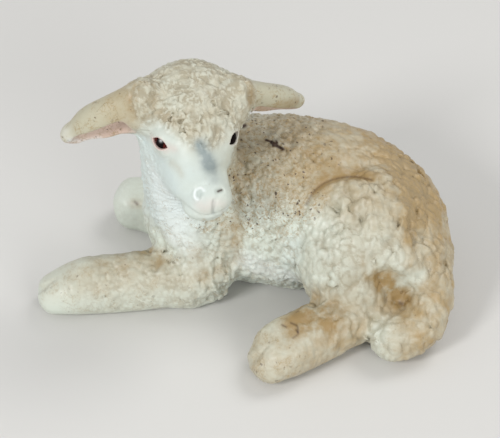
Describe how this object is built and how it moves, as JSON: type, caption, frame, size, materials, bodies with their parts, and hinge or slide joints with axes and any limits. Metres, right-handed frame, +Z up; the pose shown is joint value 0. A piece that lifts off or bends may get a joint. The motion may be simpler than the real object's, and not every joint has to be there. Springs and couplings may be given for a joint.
{
  "type": "toy lamb figure",
  "caption": "Small moulded lamb figure lying down, spine curled and head turned to its left, one foreleg stretched out, the other folded, and the tail curled round to the front.",
  "frame": {"origin": "on the ground plane, under the middle of the figure's bounding box", "axes": "+Z up; the chest is towards -X and the rump towards +X; the lamb's left side, where its face is turned, is towards -Y"},
  "size_m": [0.056, 0.0394, 0.036],
  "materials": {
    "painted_vinyl": "satin hand-painted soft vinyl, cream with an ochre wash in the hollows of the wool",
    "ear_vinyl": "satin hand-painted soft vinyl, cream outside and flesh pink inside",
    "eye_paint": "glossy near-black paint with a red-brown rim"
  },
  "bodies": {
    "root": {"body": "painted_vinyl", "head": "painted_vinyl", "ear_left": "ear_vinyl", "ear_right": "ear_vinyl", "eye_left": "eye_paint", "eye_right": "eye_paint", "foreleg_left": "painted_vinyl", "foreleg_right": "painted_vinyl", "hind_leg_left": "painted_vinyl", "hind_leg_right": "painted_vinyl", "tail": "painted_vinyl"}
  },
  "joints": []
}
